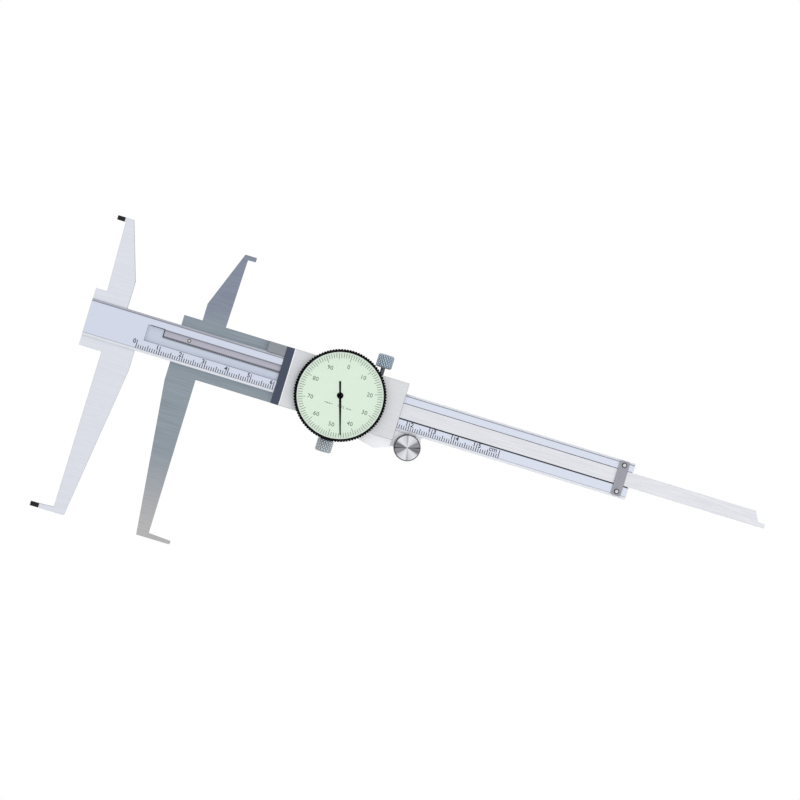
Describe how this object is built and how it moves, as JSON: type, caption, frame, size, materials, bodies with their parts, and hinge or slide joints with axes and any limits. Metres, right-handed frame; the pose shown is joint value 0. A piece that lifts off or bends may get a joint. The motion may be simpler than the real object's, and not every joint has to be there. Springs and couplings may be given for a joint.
{
  "type": "inside groove dial caliper",
  "caption": "Dial caliper with short and long outward-tipped jaws for grooves inside bores, a round dial on the slider, thumb roller, lock screw and depth bar.",
  "frame": {"origin": "centre of the beam's left end, in the plane of the fixed jaw tips, at mid thickness of the beam", "axes": "+X along the beam towards the depth bar's end, +Y towards the short jaws, +Z out of the dial"},
  "size_m": [0.3014, 0.1276, 0.0161],
  "materials": {
    "beam_steel": "satin, ground along its length",
    "fixed_jaw_steel": "fine ground across the jaws",
    "movable_jaw_steel": "fine ground across the jaws",
    "hard_tip": "dark ground carbide",
    "rack_steel": "milled",
    "brass_screw": "turned",
    "stop_plate_steel": "ground",
    "screw_steel": "turned",
    "slider_steel": "satin, brushed along the beam",
    "gib_bronze": "drawn",
    "depth_bar_steel": "ground along its length",
    "roller_steel": "turned face, knurled rim",
    "thumb_screw_steel": "knurled",
    "case_black": "black",
    "bezel_black": "black, knurled rim",
    "dial_green": "pale green print",
    "crystal_clear": "clear",
    "hand_black": "black",
    "arbor_steel": "turned",
    "gear_brass": "cut"
  },
  "bodies": {
    "beam": {"main_beam": "beam_steel", "fixed_jaw_plate": "fixed_jaw_steel", "fixed_jaw_tips": "hard_tip", "rack": "rack_steel", "rack_screws": "brass_screw", "stop_plate": "stop_plate_steel", "stop_plate_screws": "screw_steel"},
    "slider": {"slider_jaw_plate": "movable_jaw_steel", "upper_rail": "slider_steel", "lower_rail": "slider_steel", "front_plate": "slider_steel", "slider_screws": "screw_steel", "gib_strip": "gib_bronze", "gib_screws": "screw_steel", "depth_bar": "depth_bar_steel", "roller_bracket": "slider_steel", "roller_axle": "screw_steel", "brake_pin": "gib_bronze", "dial_case": "case_black", "bridge_plate": "gear_brass"},
    "bezel": {"bezel_ring": "bezel_black", "dial_face": "dial_green", "crystal": "crystal_clear"},
    "hand": {"pointer": "hand_black", "centre_arbor": "arbor_steel"},
    "pinion": {"pinion_arbor": "arbor_steel", "drive_wheel": "gear_brass"},
    "roller": {"thumb_roller": "roller_steel"},
    "lock": {"lock_screw": "thumb_screw_steel"},
    "clamp": {"bezel_clamp_screw": "thumb_screw_steel"}
  },
  "joints": [
    {"name": "slider_travel", "type": "slide", "parent": "beam", "child": "slider", "axis": [1, 0, 0], "range_m": [-0.06091, 0.08909]},
    {"name": "hand_turn", "type": "hinge", "parent": "slider", "child": "hand", "pos_m": [0.11115, -0.0009, 0.0097], "axis": [0, 0, 1], "range_deg": [-16038, 10965]},
    {"name": "pinion_turn", "type": "hinge", "parent": "slider", "child": "pinion", "pos_m": [0.10395, -0.00062, 0.006], "axis": [0, 0, 1], "range_deg": [-2194, 3209]},
    {"name": "roller_turn", "type": "hinge", "parent": "slider", "child": "roller", "pos_m": [0.145, -0.0138, 0.0016], "axis": [0, 0, 1], "range_deg": [-614, 897]},
    {"name": "bezel_turn", "type": "hinge", "parent": "slider", "child": "bezel", "pos_m": [0.11115, -0.0009, 0.0085], "axis": [0, 0, 1], "continuous": true},
    {"name": "lock_screw_turn", "type": "hinge", "parent": "slider", "child": "lock", "pos_m": [0.12555, 0.0185, 0], "axis": [0, 1, 0], "range_deg": [-90, 720]},
    {"name": "clamp_screw_turn", "type": "hinge", "parent": "slider", "child": "clamp", "pos_m": [0.11115, -0.0229, 0.0018], "axis": [0, -1, 0], "range_deg": [-90, 720]}
  ],
  "couplings": [
    {"joint": "hand_turn", "follows": "slider_travel", "rad_per_m": -3141.6},
    {"joint": "pinion_turn", "follows": "slider_travel", "rad_per_m": 628.32},
    {"joint": "roller_turn", "follows": "slider_travel", "rad_per_m": 175.44}
  ]
}
